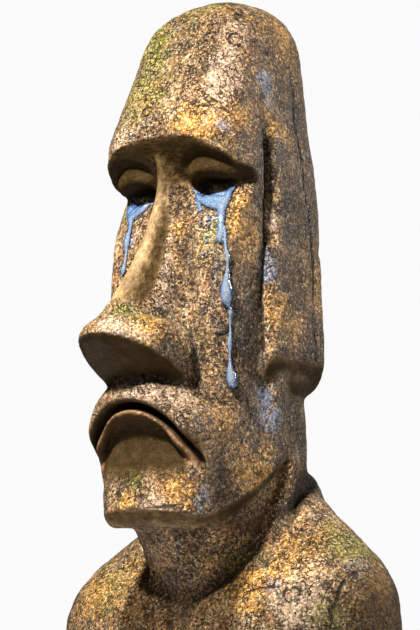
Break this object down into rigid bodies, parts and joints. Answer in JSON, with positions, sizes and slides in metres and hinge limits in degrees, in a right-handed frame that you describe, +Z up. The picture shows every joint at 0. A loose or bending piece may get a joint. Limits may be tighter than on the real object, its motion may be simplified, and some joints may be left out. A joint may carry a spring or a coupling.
{
  "type": "moai stone head statue",
  "caption": "Carved volcanic-tuff moai bust with a heavy brow, long nose, pouting mouth and ear lobes, cut flat below, with clear tears running down its cheeks.",
  "frame": {"origin": "middle of the footprint on the flat underside, at the height of the ground", "axes": "+Z up, +X to the statue's own left, -Y the way the face looks"},
  "size_m": [1.1302, 0.8242, 1.9218],
  "materials": {
    "stone": "rough weathered volcanic tuff with lichen and moss",
    "tears": "clear glossy resin, tinted blue"
  },
  "bodies": {
    "root": {"stone_bust": "stone", "tears_left": "tears", "tears_right": "tears"}
  },
  "joints": []
}
